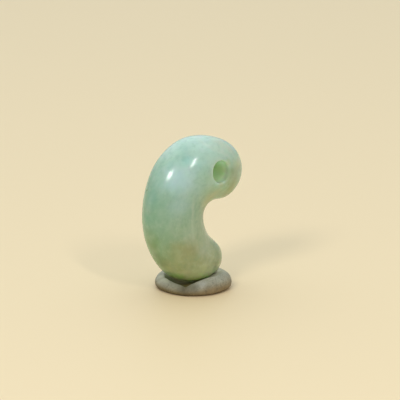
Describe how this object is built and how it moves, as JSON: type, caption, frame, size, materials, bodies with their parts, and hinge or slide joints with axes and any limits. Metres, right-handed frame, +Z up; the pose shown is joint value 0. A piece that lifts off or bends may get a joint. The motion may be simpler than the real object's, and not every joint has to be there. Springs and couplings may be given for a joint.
{
  "type": "magatama bead on a putty stand",
  "caption": "Comma-shaped jade bead with a curved body, rounded head and tail and a cord hole through the head, standing upright in a small lump of grey putty.",
  "frame": {"origin": "on the surface that the stand rests on, under the middle of the box round the whole", "axes": "+Z up; the bead stands in the XZ plane with its notch opening towards +X; +Y along the hole"},
  "size_m": [0.0152, 0.0108, 0.0208],
  "materials": {
    "jade": "polished, slightly translucent, with soft mottling",
    "putty": "matte, finely speckled"
  },
  "bodies": {
    "root": {"bead": "jade", "putty_stand": "putty"}
  },
  "joints": []
}
